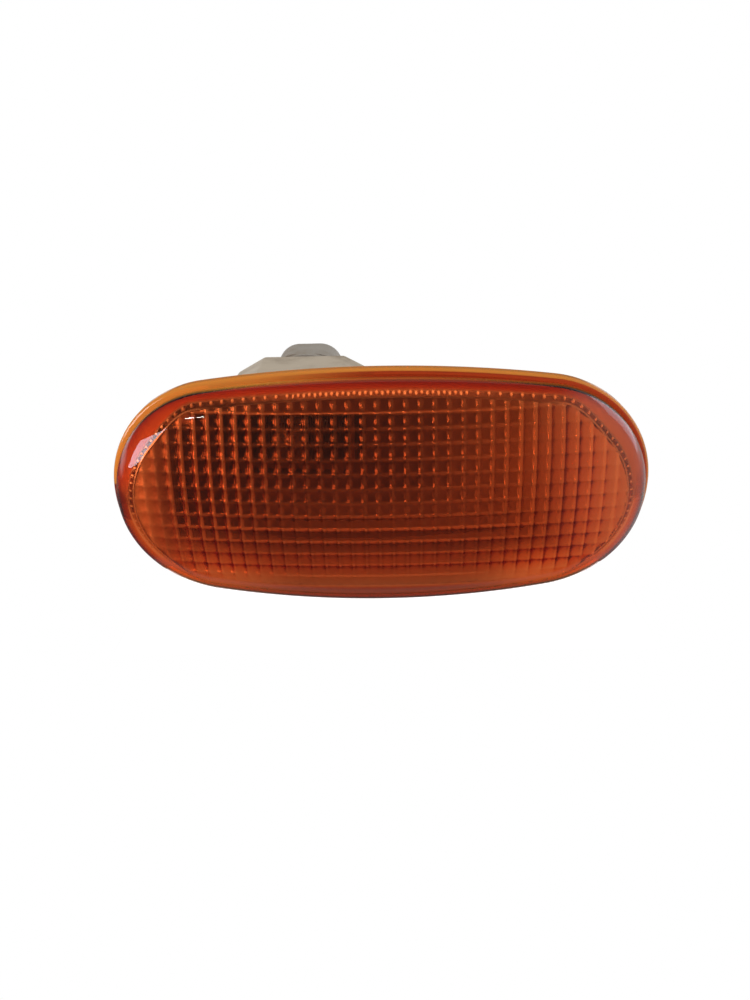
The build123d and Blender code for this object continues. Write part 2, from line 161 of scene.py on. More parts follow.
# Painted shade inside the housing: the bulb chamber, what faces the lens, and how the painted shade dies away
CHAMBER_WIDTH = (0.0130, 0.0124)
CHAMBER_HEIGHT = (0.0074, 0.0068)
INWARD = (-0.001, -0.003)
TO_LENS = (-0.2, -0.5)
SHADE_DEPTH = (-0.0006, 0.0045)
SHADE_DEPTH_LEVELS = (0.88, 1.0)
SHADE_REACH = (0.058, 0.016)
SHADE_TOP = (0.0178, 0.0164)
SHADE_HEIGHT = (-0.016, -0.001)
SHADE_HEIGHT_LEVELS = (0.4, 1.0)
# Painted highlight: a pale line along the pan's upper edge, kept out of the painted shade
HIGHLIGHT_EDGE = (0.0010, 0.0005)
HIGHLIGHT_FRONT = (0.003, 0.002)
# Floor, room and lamps: the floor's reach, the paper behind the lamp, and the levels of the room
FLOOR_HALF = 0.06
FLOOR_DEPTH = (0.012, 0.045)
FLOOR_GLOW = 0.5
PAPER_TOP = (0.14, 0.02)
PAPER_BOTTOM = (-0.2, -0.05)
PAPER_BACK = (-0.1, 0.3)
PALE_SIDE = (0.35, 0.75)
ROOM_LEVELS = (0.1, 0.65)
WORLD_LEVELS = (0.85, 1.0)
WHITE = (1.0, 1.0, 1.0)
DAYLIGHT = (0.90, 0.87, 1.0)
# Name, place, target, width, height, power in watts and colour of each lamp
LAMPS = (
    ("overhead", (0.0, -0.05, 0.55), (0.0, 0.0, 0.0), 0.5, 0.5, 0.8, WHITE),
    ("window", (-0.453, -0.272, 0.106), (-0.04, -0.007, 0.01), 0.32, 0.18, 1.4, DAYLIGHT),
    ("far window", (0.458, 0.233, 0.151), (0.04, -0.005, 0.013), 0.30, 0.30, 0.40, DAYLIGHT),
    ("small lamp", (-0.285, -0.367, 0.251), (-0.03, -0.007, 0.016), 0.05, 0.012, 0.09, WHITE),
)
# Camera, in millimetres, and the nearest it sees in metres
FOCAL_LENGTH = 27.0
SENSOR = 36.0
NEAREST = 0.01


def length_property(name, description, default):
    """A size in metres that a user may change."""
    return FloatProperty(name=name, description=description, default=default, unit="LENGTH", precision=5)


def colour_property(name, description, default):
    """A linear colour that a user may change."""
    return FloatVectorProperty(
        name=name, description=description, default=default, subtype="COLOR", size=3, min=0.0, max=1.0
    )


def angle_property(name, description, degrees):
    """An angle that a user may change."""
    return FloatProperty(name=name, description=description, default=math.radians(degrees), unit="ROTATION")


class LampLensSettings(bpy.types.PropertyGroup):
    """Form and glass of the lens."""

    length: length_property("Length", "Lens from end to end", 0.096)
    height: length_property("Height", "Lens from top to bottom", 0.0442)
    side_arc: length_property("Side arc", "Radius of the outline's long sides", 0.245)
    end_arc: length_property("End arc", "Radius of the outline's ends", 0.058)
    corner_arc: length_property("Corner arc", "Radius of the outline's corners", 0.0203)
    crown: length_property("Crown", "Height of the crown over the seat", 0.0122)
    crown_long: length_property("Crown radius along", "Radius of the crown along the lamp", 0.230)
    crown_cross: length_property("Crown radius across", "Radius of the crown across the lamp", 0.046)
    edge: length_property("Edge radius", "Rounding between crown and side", 0.0056)
    flange_width: length_property("Flange width", "How far the rim's flange stands out", 0.0012)
    flange_thickness: length_property("Flange thickness", "Thickness of the rim's flange", 0.0019)
    flange_edge: length_property("Flange edge", "Rounding of the flange", 0.0007)
    wall: length_property("Wall", "Thickness of the shell", 0.0016)
    ledge_width: length_property("Ledge width", "How far the weld ledge stands in from the wall", 0.0007)
    ledge_back: length_property("Ledge back", "Height of the ledge's back over the seat", 0.001)
    ledge_height: length_property("Ledge height", "Thickness of the weld ledge", 0.0012)
    column_pitch: length_property("Column pitch", "Width of a pillow", 0.002375)
    row_pitch: length_property("Row pitch", "Height of a pillow", 0.00245)
    column_rise: length_property("Column rise", "Rise of a pillow across its width", 0.00030)
    row_rise: length_property("Row rise", "Rise of a pillow across its height", 0.00018)
    optic_margin: length_property("Optic margin", "Inset of the optic from the rim", 0.0040)
    end_margin: length_property("End margin", "How much further in the optic starts at the ends", 0.0015)
    optic_relief: length_property("Optic relief", "Depth of the valleys under the inner face", 0.0004)
    bead_inset: length_property("Bead inset", "Inset of the bead row from the rim", 0.0034)
    bead_pitch: length_property("Bead pitch", "Distance between the beads round the optic", 0.00187)
    bead_rise: length_property("Bead rise", "Rise of the beads round the optic", 0.00012)
    bead_spread: length_property("Bead spread", "Reach of a bead across its row", 0.0004)
    line_width: length_property("Line width", "Half width of a bright line in the valleys", 0.00042)
    amber: colour_property("Amber", "Colour that passes through the lens", (0.878, 0.415, 0.0))
    # The rim's tint: the amber's own colour, and partly a painted glow on the flange band
    rim_amber: colour_property("Rim amber", "Tint of the rim's flange", (0.92, 0.38, 0.06))
    rim_deep: colour_property("Rim deep", "Tint of the rim's front face on the right", (0.46, 0.055, 0.014))
    # Tints of the painted glow on the inner wall at the weld
    weld: colour_property("Weld", "Painted glow on the inner wall at the weld", (1.0, 0.50, 0.30))
    pale_wall_glow: colour_property("Pale wall glow", "Paler painted glow on the wall behind the right end of the lens", (1.0, 0.85, 0.75))
    # Darker colour of the rim's bottom, also the painted shadow beside the hook
    rim_dark_and_shadow: colour_property("Rim dark and shadow", "Darker tint of the rim's lowest part and painted shadow beside the hook", (0.34, 0.055, 0.036))
    clear: colour_property("Clear", "Tint of the clean surface", (1.0, 0.96, 0.90))
    depth: FloatProperty(name="Depth of colour", description="Light lost in a metre of amber", default=900.0)
    bend: FloatProperty(name="Refraction", description="Refractive index of the acrylic", default=1.49)


class LampFinishSettings(bpy.types.PropertyGroup):
    """Colours of the pieces behind the lens."""

    housing: colour_property("Housing", "Off-white moulding", (0.396, 0.332, 0.247))
    grime: colour_property("Grime", "Road dirt on the housing", (0.20, 0.15, 0.10))
    inside: colour_property("Inside", "Clean white inside the housing", (0.88, 0.82, 0.71))
    # Colour of the painted shade inside the housing, darkest behind the bulb
    painted_shade: colour_property("Painted shade", "Painted shade inside the housing", (0.085, 0.052, 0.038))
    bulb_x: length_property("Bulb place", "Where the bulb stands along the lamp", -0.0158)
    bulb_z: length_property("Bulb height", "Height of the bulb over the lamp's middle", 0.007)
    pan_top: length_property("Pan edge", "Height of the pan's upper edge", 0.0136)
    holder: colour_property("Holder", "Grey moulding", (0.275, 0.247, 0.208))
    seal: colour_property("Seal", "Black rubber", (0.018, 0.018, 0.018))
    brass: colour_property("Contacts", "Brass strip", (0.60, 0.42, 0.17))
    steel: colour_property("Leads", "Bulb lead wire", (0.48, 0.46, 0.43))
    tungsten: colour_property("Filament", "Coiled wire", (0.20, 0.19, 0.18))


class LampStageSettings(bpy.types.PropertyGroup):
    """Floor, light and camera."""

    floor_drop: length_property("Floor", "Height of the floor", -0.045)
    camera_distance: length_property("Camera distance", "From the camera to its target", 0.1311)
    camera_target: FloatVectorProperty(
        name="Camera target", description="Point that the camera looks at",
        default=(-0.0008, -0.006, -0.00022), unit="LENGTH", subtype="XYZ",
    )
    camera_azimuth: angle_property("Camera azimuth", "Turn of the camera round the lamp", 1.2)
    camera_elevation: angle_property("Camera elevation", "Height of the camera as an angle", 24.5)
    camera_roll: angle_property("Camera roll", "Tilt of the camera about its line of sight", -1.42)
    outline_steps: IntProperty(
        name="Outline steps", description="Points round the lens outline", default=720, min=64
    )
    pillow_steps: IntProperty(name="Pillow steps", description="Points across one pillow", default=8, min=4)


def outline(lens, count):
    """Points, outward normals and distances along the lens oval, evenly spaced from its right end.

    Each long side, end and corner is an arc. A corner arc touches its neighbours from the inside, so its
    centre is where two circles round the neighbours' centres meet. The distance along the oval picks the
    arc, and what is left of it, over the radius, is the angle on that arc.
    """
    side_z = lens.height / 2 - lens.side_arc
    end_x = lens.length / 2 - lens.end_arc
    side_reach = lens.side_arc - lens.corner_arc
    end_reach = lens.end_arc - lens.corner_arc
    span = math.hypot(end_x, side_z)
    along = (span**2 + side_reach**2 - end_reach**2) / (2 * span)
    off = math.sqrt(side_reach**2 - along**2)
    corner_x = along * end_x / span - off * side_z / span
    corner_z = side_z - along * side_z / span - off * end_x / span
    side_half = math.atan2(corner_x, corner_z - side_z)
    end_half = math.atan2(corner_z, corner_x - end_x)
    turn = math.pi / 2 - side_half - end_half
    centres = np.array([
        (end_x, 0), (corner_x, corner_z), (0, side_z), (-corner_x, corner_z), (-end_x, 0),
        (-corner_x, -corner_z), (0, -side_z), (corner_x, -corner_z), (end_x, 0),
    ])
    radii = np.array([
        lens.end_arc, lens.corner_arc, lens.side_arc, lens.corner_arc, lens.end_arc,
        lens.corner_arc, lens.side_arc, lens.corner_arc, lens.end_arc,
    ])
    sweeps = np.array([
        end_half, turn, 2 * side_half, turn, 2 * end_half, turn, 2 * side_half, turn, end_half,
    ])
    starts = np.concatenate([[0], np.cumsum(sweeps)[:-1]])
    lengths = np.concatenate([[0], np.cumsum(radii * sweeps)])
    distance = np.arange(count) * lengths[-1] / count
    arc = np.clip(np.searchsorted(lengths, distance, side="right") - 1, 0, len(radii) - 1)
    angle = starts[arc] + (distance - lengths[arc]) / radii[arc]
    normals = np.stack([np.cos(angle), np.sin(angle)], axis=-1)
    return centres[arc] + radii[arc, None] * normals, normals, distance


def crown_height(lens, flat, inset):
    """Height of the crown over the seat at points (x, z): an arc along the lamp, turned about an axis.

    The arc falls away from the middle by radius - sqrt(radius^2 - x^2). Its distance from the axis is the
    radius of the circle that carries it across the lamp.
    """
    axis = lens.crown_cross - lens.crown
    arc = np.sqrt((lens.crown_long - inset) ** 2 - flat[..., 0] ** 2) - (lens.crown_long - lens.crown)
    return np.sqrt((axis + arc) ** 2 - flat[..., 1] ** 2) - axis


def rolled_profile(lens, rim, normals, side, crown_inset, foot, edge_steps, limit):
    """Wall and rounded edge of one skin of the lens, as insets and heights along the outline.

    A ball rolls in the corner of the wall and the crown. It touches the crown where the inset and the
    crown's slope q meet side + radius * (1 - q / sqrt(1 + q^2)), found by repeating that step. The edge
    starts at the wall's foot where the ball's centre is lower, and stops at a limit where that comes first.
    """
    radius = lens.edge - crown_inset
    touch = np.full(len(rim), side + radius / 2)
    for _ in range(TOUCH_ROUNDS):
        ahead = crown_height(lens, rim - (touch + SLOPE_STEP)[:, None] * normals, crown_inset)
        behind = crown_height(lens, rim - (touch - SLOPE_STEP)[:, None] * normals, crown_inset)
        slope = (ahead - behind) / (2 * SLOPE_STEP)
        lean = slope / np.sqrt(1 + slope**2)
        touch = side + radius * (1 - lean)
    upright = 1 / np.sqrt(1 + slope**2)
    ball = crown_height(lens, rim - touch[:, None] * normals, crown_inset) - radius * upright
    rise = np.array(WALL_SHARES)[:, None]
    wall = foot + rise * np.maximum(ball - foot, 0)[None, :]
    share = np.linspace(0, 1, edge_steps)[:, None]
    stop = np.minimum(-lean, (limit - side) / radius - 1)
    start = math.pi - np.arcsin(np.clip((foot - ball) / radius, 0, 1))
    angle = start - share * (start - np.arccos(stop))[None, :]
    edge_insets = side + radius * (1 + np.cos(angle))
    edge_heights = ball[None, :] + radius * np.sin(angle)
    return np.concatenate([np.full_like(wall, side), edge_insets]), np.concatenate([wall, edge_heights])


def ring_faces(rings, count, first):
    """Quads between neighbouring rings of count points each, closed round the outline."""
    here = np.arange(count)
    after = (here + 1) % count
    start = first + np.arange(rings - 1)[:, None] * count
    quads = np.stack([start + here, start + after, start + count + after, start + count + here], axis=-1)
    return quads.reshape(-1, 4)


def spread(rim, normals, insets, heights):
    """Rings of points at insets from the outline and heights over the seat."""
    flat = rim[None] - insets[..., None] * normals[None]
    return np.stack([flat[..., 0], -heights, flat[..., 1]], axis=-1).reshape(-1, 3)


def pillow_height(lens, flat):
    """Height of the optic over the seat: the sheet of its valleys, less the rise of the pillows.

    The sheet is two parabolas added. A pillow is two more, one across its width and one across its
    height, each 1 - (2 u)^2 with u from -1/2 to 1/2 across the pitch. They die away towards the bottom and
    the ends.
    """
    x, z = flat[..., 0], flat[..., 1]
    fall = x**2 / (2 * (lens.crown_long - lens.wall)) + z**2 / (2 * (lens.crown_cross - lens.wall))
    u = x / lens.column_pitch
    u = u - np.floor(u) - 0.5
    w = z / lens.row_pitch - 0.5
    w = w - np.floor(w) - 0.5
    rise = lens.column_rise * (1 - 4 * u**2) + lens.row_rise * (1 - 4 * w**2)
    kept = (1 - fade(-z, *PILLOWS_END_LOW)) * (1 - PILLOWS_LOST_SIDE * fade(np.abs(x), *PILLOWS_END_SIDE))
    return lens.crown - lens.wall - fall - (lens.optic_relief + rise) * kept


def filled_oval(border, spacing_x, spacing_z, clear):
    """Triangles that fill an oval: its border and the grid points inside it, joined by Delaunay's rule.

    A grid point counts as inside where its height is within the border's at its x, less a clearance.
    """
    x_reach, z_reach = np.abs(border).max(axis=0)
    x = np.arange(-math.floor(x_reach / spacing_x), math.floor(x_reach / spacing_x) + 1) * spacing_x
    z = np.arange(-math.floor(z_reach / spacing_z), math.floor(z_reach / spacing_z) + 1) * spacing_z
    upper = border[border[:, 1] >= 0]
    upper = upper[np.argsort(upper[:, 0])]
    grid = np.stack(np.meshgrid(x, z, indexing="ij"), axis=-1).reshape(-1, 2)
    shrunk = upper * (1 - clear / np.maximum(np.linalg.norm(upper, axis=1, keepdims=True), clear))
    limit = np.interp(grid[:, 0], shrunk[:, 0], shrunk[:, 1], left=-1.0, right=-1.0)
    points = np.concatenate([border, grid[np.abs(grid[:, 1]) < limit - clear]])
    loop = [(i, (i + 1) % len(border)) for i in range(len(border))]
    verts, _, faces, _, _, _ = delaunay_2d_cdt([Vector(p) for p in points], loop, [], 1, FILL_LIMIT)
    return np.array([tuple(v) for v in verts]), np.array(faces)


def fade(value, start, end):
    """0 before the start and 1 after the end, with the smooth step 3 t^2 - 2 t^3 between them."""
    t = np.clip((value - start) / (end - start), 0, 1)
    return t * t * (3 - 2 * t)


def flange_profile(lens):
    """Insets and heights of the rim's flange: the seat, then a quarter circle round its edge."""
    turn = np.linspace(0, math.pi / 2, FLANGE_STEPS)
    insets = TRIM + lens.flange_edge * (1 - np.cos(turn))
    heights = lens.flange_thickness - lens.flange_edge * (1 - np.sin(turn))
    return np.concatenate([[TRIM], insets]), np.concatenate([[0.0], heights])


def outer_skin(lens, rim, normals):
    """Rings of the flange, the wall and the rounded edge, and rings of the crown that close on a line.

    A crown ring is the last edge ring drawn in, by equal shares, to a line along the lamp's middle.
    """
    flange_insets, flange_heights = flange_profile(lens)
    edge_insets, edge_heights = rolled_profile(
        lens, rim, normals, lens.flange_width, TRIM, lens.flange_thickness, EDGE_STEPS, lens.height
    )
    level_line = np.zeros((1, len(rim)))
    insets = np.concatenate([flange_insets[:, None] + level_line, edge_insets])
    heights = np.concatenate([flange_heights[:, None] + level_line, edge_heights])
    shares = np.linspace(1, 0, CROWN_RINGS + 1)[1:, None]
    crown_edge = rim - insets[-1][:, None] * normals
    spine = np.clip(crown_edge[:, 0], -CROWN_SPINE, CROWN_SPINE)
    x = spine + shares * (crown_edge[:, 0] - spine)
    z = shares * crown_edge[:, 1]
    crown = np.stack([x, -crown_height(lens, np.stack([x, z], axis=-1), TRIM), z], axis=-1)
    return np.concatenate([spread(rim, normals, insets, heights), crown.reshape(-1, 3)])


def inner_profile(lens, rim, normals, distance, margin, bead_line):
    """Insets and heights of the weld ledge, the inner wall, its rounded edge and the optic's border.

    A bead is a squared cosine along the outline, over the bead pitch, times one across the bead line. It
    leans inwards as much as it rises.
    """
    side = lens.flange_width + lens.wall
    ledge_top = lens.ledge_back + lens.ledge_height
    insets, heights = rolled_profile(
        lens, rim, normals, side, lens.wall, ledge_top, INNER_EDGE_STEPS, margin
    )
    bead = np.cos(math.pi * distance / lens.bead_pitch) ** 2 * fade(rim[:, 1], *BEAD_TOP)
    across = np.clip((insets - bead_line) / lens.bead_spread, -1, 1)
    rise = BEAD_LEAN * lens.bead_rise * (np.cos(math.pi / 2 * across) ** 2 * bead)
    level_line = np.zeros((1, len(rim)))
    ledge_insets = side + lens.ledge_width * np.array([0, 0, 1, 1])[:, None] + level_line
    ledge_heights = np.array([0, lens.ledge_back, lens.ledge_back, ledge_top])[:, None] + level_line
    border_heights = pillow_height(lens, rim - margin[:, None] * normals)
    return (
        np.concatenate([ledge_insets, insets + rise, margin[None]]),
        np.concatenate([ledge_heights, heights - rise, border_heights[None]]),
        len(ledge_insets),
    )


def lens_marks(lens, rim, distance, counts, inner_insets, ledge_rings, bead_line):
    """Values at the lens's points that its material reads, for the outer skin, the inner wall and the optic.

    They are the distance along the outline, the inset, which is the wall's on the ledge, the optic itself,
    the film on the rim and edge, the rim's front, and the distance from the bead line.
    """
    skin_count, inner_count, optic_count = counts
    x, z = rim.T
    edge_start = FLANGE_STEPS + 1 + len(WALL_SHARES)
    film = np.zeros((skin_count // len(rim), len(rim)))
    # The flange and wall take the rim's tint, partly a painted glow on the flange band
    film[:edge_start] = 1.0
    film[edge_start:edge_start + EDGE_STEPS] = np.maximum.reduce([
        np.outer(BOTTOM_FILM, fade(-z, *BOTTOM_ZONE)),
        np.outer(SIDE_FILM, fade(np.abs(x), *SIDE_ZONE) * fade(-z, *BELOW_MIDDLE)),
        # Painted shade: the film on the top rings next to the wall
        np.outer(TOP_PAINTED_SHADE, fade(z, *TOP_SHADE_ZONE)),
    ])
    front = np.zeros_like(film)
    front[edge_start - FRONT_RINGS:edge_start] = 1.0
    front[edge_start:edge_start + FRONT_RINGS] = FRONT_SHARE
    wall_insets = inner_insets.copy()
    wall_insets[:ledge_rings] = lens.flange_width + lens.wall
    seat_ring = np.zeros_like(inner_insets)
    seat_ring[0] = 1.0
    marks = {
        "along": (0.0, np.tile(distance, len(inner_insets)), 0.0),
        "inset": (0.0, wall_insets, lens.optic_margin),
        "optic_mark": (0.0, 0.0, 1.0),
        "flange_mark": (film, seat_ring, 0.0),
        "front_mark": (front, 0.0, 0.0),
        "from_beads": (-lens.bead_inset, inner_insets - bead_line, lens.bead_inset),
    }
    return {
        name: np.concatenate([np.broadcast_to(np.ravel(part), count) for part, count in zip(parts, counts)])
        for name, parts in marks.items()
    }


def lens_mesh(lens, stage):
    """Closed shell of the lens: outer skin, inner wall, optic, and the seat that joins the skins."""
    rim, normals, distance = outline(lens, stage.outline_steps)
    count = len(rim)
    further = lens.end_margin * fade(np.abs(normals[:, 0]), *END_TURN)
    margin = lens.optic_margin + further
    bead_line = lens.bead_inset + further
    skin = outer_skin(lens, rim, normals)
    insets, heights, ledge_rings = inner_profile(lens, rim, normals, distance, margin, bead_line)
    inner = spread(rim, normals, insets, heights)
    flat, optic_faces = filled_oval(
        rim - margin[:, None] * normals,
        lens.column_pitch / stage.pillow_steps, lens.row_pitch / stage.pillow_steps, GRID_CLEARANCE,
    )
    optic = np.stack([flat[:, 0], -pillow_height(lens, flat), flat[:, 1]], axis=-1)
    counts = (len(skin), len(inner), len(optic))
    here = np.arange(count)
    after = (here + 1) % count
    quads = np.concatenate([
        ring_faces(len(skin) // count, count, 0),
        ring_faces(len(inner) // count, count, len(skin))[:, ::-1],
        np.stack([after, here, len(skin) + here, len(skin) + after], axis=-1),
    ])
    mesh = bpy.data.meshes.new("amber_lens")
    faces = quads.tolist() + (optic_faces + len(skin) + len(inner)).tolist()
    mesh.from_pydata(np.concatenate([skin, inner, optic]), [], faces)
    marks = lens_marks(lens, rim, distance, counts, insets, ledge_rings, bead_line)
    for name, values in marks.items():
        mesh.attributes.new(name, "FLOAT", "POINT").data.foreach_set("value", values.astype(np.float32))
    shell = bmesh.new()
    shell.from_mesh(mesh)
    bmesh.ops.remove_doubles(shell, verts=shell.verts, dist=MERGE)
    bmesh.ops.dissolve_degenerate(shell, edges=shell.edges, dist=THIN_EDGE)
    bmesh.ops.recalc_face_normals(shell, faces=shell.faces)
    shell.to_mesh(mesh)
    shell.free()
    mesh.shade_smooth()
    mesh.set_sharp_from_angle(angle=SHARP_ANGLE)
    return mesh


def new_material(name):
    """A material with only its output and a Principled shader, and both of them."""
    material = bpy.data.materials.new(name)
    material.use_nodes = True
    tree = material.node_tree
    shader = next(n for n in tree.nodes if n.type == "BSDF_PRINCIPLED")
    output = next(n for n in tree.nodes if n.type == "OUTPUT_MATERIAL")
    return material, tree, shader, output


def noise(tree, scale, detail=3.0, roughness=0.5):
    """Noise of the piece's own coordinates, with a scale in waves to the metre."""
    place = tree.nodes.new("ShaderNodeTexCoord")
    texture = tree.nodes.new("ShaderNodeTexNoise")
    texture.inputs["Scale"].default_value = scale
    texture.inputs["Detail"].default_value = detail
    texture.inputs["Roughness"].default_value = roughness
    tree.links.new(place.outputs["Object"], texture.inputs["Vector"])
    return texture.outputs["Fac"]


def ramp(tree, value, stops):
    """Colours set along a value from 0 to 1."""
    node = tree.nodes.new("ShaderNodeValToRGB")
    elements = node.color_ramp.elements
    for element, (place, colour) in zip(elements, (stops[0], stops[-1])):
        element.position = place
        element.color = (*colour, 1.0)
    for place, colour in stops[1:-1]:
        elements.new(place).color = (*colour, 1.0)
    tree.links.new(value, node.inputs["Fac"])
    return node.outputs["Color"]


def level(tree, value, low, high):
    """A value from 0 to 1 spread from low to high."""
    node = tree.nodes.new("ShaderNodeMapRange")
    node.inputs["To Min"].default_value = low
    node.inputs["To Max"].default_value = high
    tree.links.new(value, node.inputs["Value"])
    return node.outputs["Result"]


def grain(tree, shader, value, strength, distance):
    """Fine relief from a value, in metres."""
    bump = tree.nodes.new("ShaderNodeBump")
    bump.inputs["Strength"].default_value = strength
    bump.inputs["Distance"].default_value = distance
    tree.links.new(value, bump.inputs["Height"])
    tree.links.new(bump.outputs["Normal"], shader.inputs["Normal"])


def attribute(tree, name):
    """A value that the mesh carries at its points."""
    node = tree.nodes.new("ShaderNodeAttribute")
    node.attribute_name = name
    return node.outputs["Fac"]


def mixed(tree, factor, first, second):
    """A colour between two others, each a socket or a colour."""
    node = tree.nodes.new("ShaderNodeMix")
    node.data_type = "RGBA"
    sockets = [i for i in node.inputs if i.enabled]
    tree.links.new(factor, sockets[0])
    for socket, colour in zip(sockets[1:], (first, second)):
        if isinstance(colour, bpy.types.NodeSocket):
            tree.links.new(colour, socket)
        else:
            socket.default_value = (*colour, 1.0)
    return next(o for o in node.outputs if o.enabled)


def smooth(tree, value, start, end):
    """0 before the start and 1 after the end, with a smooth step between them."""
    node = tree.nodes.new("ShaderNodeMapRange")
    node.interpolation_type = "SMOOTHSTEP"
    node.inputs["From Min"].default_value = start
    node.inputs["From Max"].default_value = end
    tree.links.new(value, node.inputs["Value"])
    return node.outputs["Result"]


def sums(tree, operation, first, second=0.0):
    """A sum, product or other operation on one or two values or numbers."""
    node = tree.nodes.new("ShaderNodeMath")
    node.operation = operation
    for socket, value in zip(node.inputs, (first, second)):
        if isinstance(value, float):
            socket.default_value = value
        else:
            tree.links.new(value, socket)
    return node.outputs[0]


def product(tree, *values):
    """All the values multiplied."""
    return reduce(lambda first, second: sums(tree, "MULTIPLY", first, second), values)


def largest(tree, *values):
    """The largest of the values."""
    return reduce(lambda first, second: sums(tree, "MAXIMUM", first, second), values)


def magnitude(tree, value):
    """A value without its sign."""
    return sums(tree, "ABSOLUTE", value)


def axes_of(tree, source):
    """X, Y and Z of a texture coordinate, such as Object or Normal."""
    place = tree.nodes.new("ShaderNodeTexCoord")
    split = tree.nodes.new("ShaderNodeSeparateXYZ")
    tree.links.new(place.outputs[source], split.inputs["Vector"])
    return tuple(split.outputs[axis] for axis in "XYZ")


def from_line(tree, place, pitch, start):
    """Distance to the nearest of a row of lines, with its sign."""
    turns = sums(tree, "FRACT", sums(tree, "ADD", sums(tree, "DIVIDE", place, pitch), 0.5 - start))
    return product(tree, sums(tree, "SUBTRACT", turns, 0.5), pitch)


def painted_valley_highlights(tree, lens):
    """Painted highlights: a metallic mark along the optic's valleys, for the light that the pillows bend.

    The rows are bright in the lower half and faint above it. The columns are bright towards both ends and
    dotted in the middle, and each has a thin wavy edge, a cosine of the height over the row pitch. The
    pillows between them are hazy towards the ends and the bottom, with a painted metallic sheen.
    """
    x, _, z = axes_of(tree, "Object")
    from_middle = magnitude(tree, x)
    width = lens.line_width
    column = from_line(tree, x, lens.column_pitch, 0.0)
    row = from_line(tree, z, lens.row_pitch, 0.5)
    wave = sums(tree, "COSINE", product(tree, z, 2 * math.pi / lens.row_pitch))
    edge_line = sums(tree, "ADD", column, product(tree, wave, EDGE_WAVE * width))
    edge = smooth(tree, magnitude(tree, sums(tree, "ADD", edge_line, width)), *EDGE_REACH)
    body = smooth(tree, magnitude(tree, column), *(share * width for share in COLUMN_REACH))
    column_line = largest(tree, product(tree, body, COLUMN_BODY), product(tree, edge, COLUMN_EDGE))
    row_line = smooth(tree, magnitude(tree, row), *(share * width for share in ROW_REACH))
    low = smooth(tree, z, *LOW_ROWS)
    low_middle = product(tree, low, smooth(tree, from_middle, *MIDDLE_COLUMNS))
    sides = largest(tree, smooth(tree, x, *LEFT_COLUMNS), smooth(tree, x, *RIGHT_COLUMNS))
    dotted = largest(tree, smooth(tree, wave, *DOT_WAVE), sides)
    strength = product(
        tree, level(tree, low_middle, *LOW_COLUMN_LEVELS), level(tree, sides, *SIDE_LEVELS),
        level(tree, dotted, *DOT_LEVELS),
    )
    columns = product(tree, column_line, strength)
    upper_rows = product(tree, row_line, level(tree, smooth(tree, x, *RIGHT_ROWS), *UPPER_ROW_LEVELS))
    low_rows = product(tree, row_line, level(tree, low, *LOW_ROW_LEVELS))
    # Painted sheen over the pillows at the ends and the bottom
    painted_sheen = largest(tree, smooth(tree, x, *LEFT_SHEEN), smooth(tree, x, *RIGHT_SHEEN))
    ends = product(tree, painted_sheen, level(tree, body, *SHEEN_LEVELS))
    outer = level(tree, smooth(tree, from_middle, *OUTER_SHEEN), *OUTER_LEVELS)
    outer = largest(tree, outer, smooth(tree, x, *LOW_RIGHT_SHEEN))
    bottom = product(tree, smooth(tree, z, *BOTTOM_SHEEN), outer)
    lines = largest(tree, columns, upper_rows, low_rows, ends, bottom)
    return product(tree, lines, attribute(tree, "optic_mark"))


def painted_bead_glints(tree, lens):
    """Painted glints: bright metallic dots on the bead line and, at both ends, a painted highlight on the
    step down to the optic.

    The dots are a bead pitch apart along the outline, and half of it in the middle. A dot dies away with
    the distance from its centre.
    """
    x, _, z = axes_of(tree, "Object")
    from_middle = magnitude(tree, x)
    along = attribute(tree, "along")
    wide = magnitude(tree, from_line(tree, along, lens.bead_pitch, 0.0))
    close = magnitude(tree, from_line(tree, along, lens.bead_pitch / 2, 0.0))
    middle = sums(tree, "LESS_THAN", from_middle, CLOSE_BEADS)
    nearest = sums(
        tree, "ADD", product(tree, close, middle), product(tree, wide, sums(tree, "SUBTRACT", 1.0, middle))
    )
    off = attribute(tree, "from_beads")
    square = sums(tree, "ADD", product(tree, nearest, nearest), product(tree, off, off))
    dot = smooth(tree, sums(tree, "SQRT", square), *BEAD_DOT)
    dots = product(tree, dot, smooth(tree, z, *BEAD_ENDS))
    step = product(tree, smooth(tree, off, *STEP_START), smooth(tree, off, *STEP_END))
    at_ends = smooth(tree, from_middle, *STEP_ZONE)
    return largest(tree, dots, product(tree, step, at_ends, STEP_STRENGTH))


